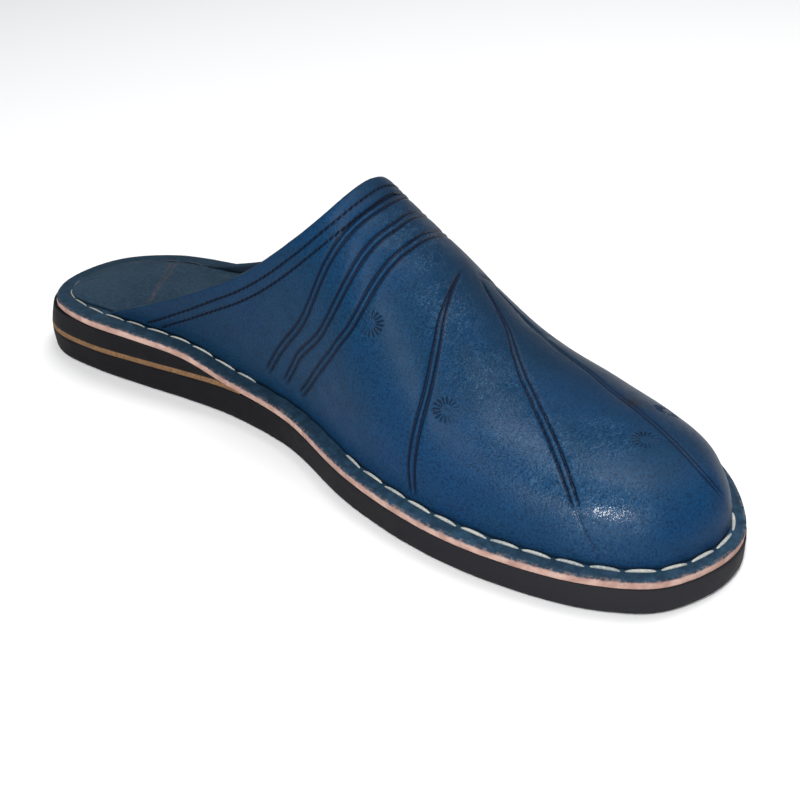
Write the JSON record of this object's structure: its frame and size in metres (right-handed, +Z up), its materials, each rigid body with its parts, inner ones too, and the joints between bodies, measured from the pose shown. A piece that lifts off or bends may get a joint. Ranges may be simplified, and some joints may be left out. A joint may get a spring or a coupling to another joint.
{
  "type": "babouche slipper",
  "caption": "Men's open-heeled leather slipper with a rounded toe, a high instep and a stitched rim on a rubber sole with a low heel wedge.",
  "frame": {"origin": "on the floor, under the middle of the shoe's bounding box", "axes": "+X from heel to toe, +Y to the outer side of the foot, +Z up"},
  "size_m": [0.2928, 0.1074, 0.0942],
  "materials": {
    "outsole_rubber": "matt black microcellular rubber",
    "shim_leather": "bare tan leather edge",
    "wedge_rubber": "matt black microcellular rubber",
    "midsole_leather": "cut pinkish edge, top dyed dark blue",
    "footbed_leather": "dull slate blue lining leather",
    "upper_leather": "semi-gloss grained blue leather"
  },
  "bodies": {
    "root": {"outsole": "outsole_rubber", "heel_shim": "shim_leather", "heel_wedge": "wedge_rubber", "midsole": "midsole_leather", "footbed": "footbed_leather", "upper": "upper_leather"}
  },
  "joints": []
}
